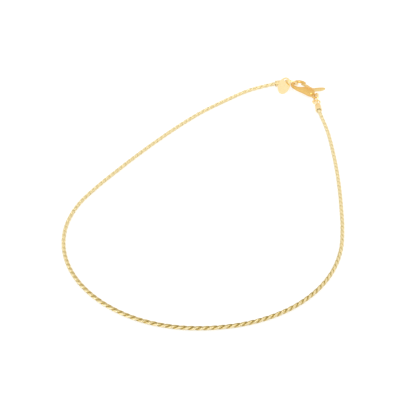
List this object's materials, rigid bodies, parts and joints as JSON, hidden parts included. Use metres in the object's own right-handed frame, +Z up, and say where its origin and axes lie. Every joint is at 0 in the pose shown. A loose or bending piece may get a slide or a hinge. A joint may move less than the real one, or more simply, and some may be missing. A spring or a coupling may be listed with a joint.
{
  "type": "rope chain necklace",
  "caption": "Slim gold rope chain necklace with end caps, jump rings, an oval tag and a lobster clasp with a sprung lever, lying fastened in an egg-shaped loop.",
  "frame": {"origin": "middle of the lying necklace's bounding box, on the surface it lies on", "axes": "+Z up from the surface, +Y along the loop from its round end towards the clasp, +X to the right seen from the round end"},
  "size_m": [0.0986, 0.1526, 0.0042],
  "materials": {
    "chain_gold": "bright polished yellow gold, twisted wire links",
    "cap_gold": "polished yellow gold",
    "ring_gold": "polished yellow gold wire",
    "tag_gold": "polished pale yellow gold",
    "clasp_gold": "polished deeper yellow gold, cast",
    "lever_gold": "polished yellow gold, cast"
  },
  "bodies": {
    "necklace": {"rope_chain": "chain_gold", "end_cap_catch": "cap_gold", "end_cap_clasp": "cap_gold", "catch_ring": "ring_gold", "clasp_ring": "ring_gold", "link_ring": "ring_gold", "end_tag": "tag_gold", "clasp_body": "clasp_gold", "clasp_pin": "clasp_gold"},
    "lever": {"clasp_lever": "lever_gold"}
  },
  "joints": [
    {"name": "clasp_lever_hinge", "type": "hinge", "parent": "necklace", "child": "lever", "pos_m": [0.04097, 0.06726, 0.00175], "axis": [0, 0, 1], "range_deg": [0, 18], "stiffness_Nm_per_rad": 0.004, "springref_deg": -20.05}
  ]
}
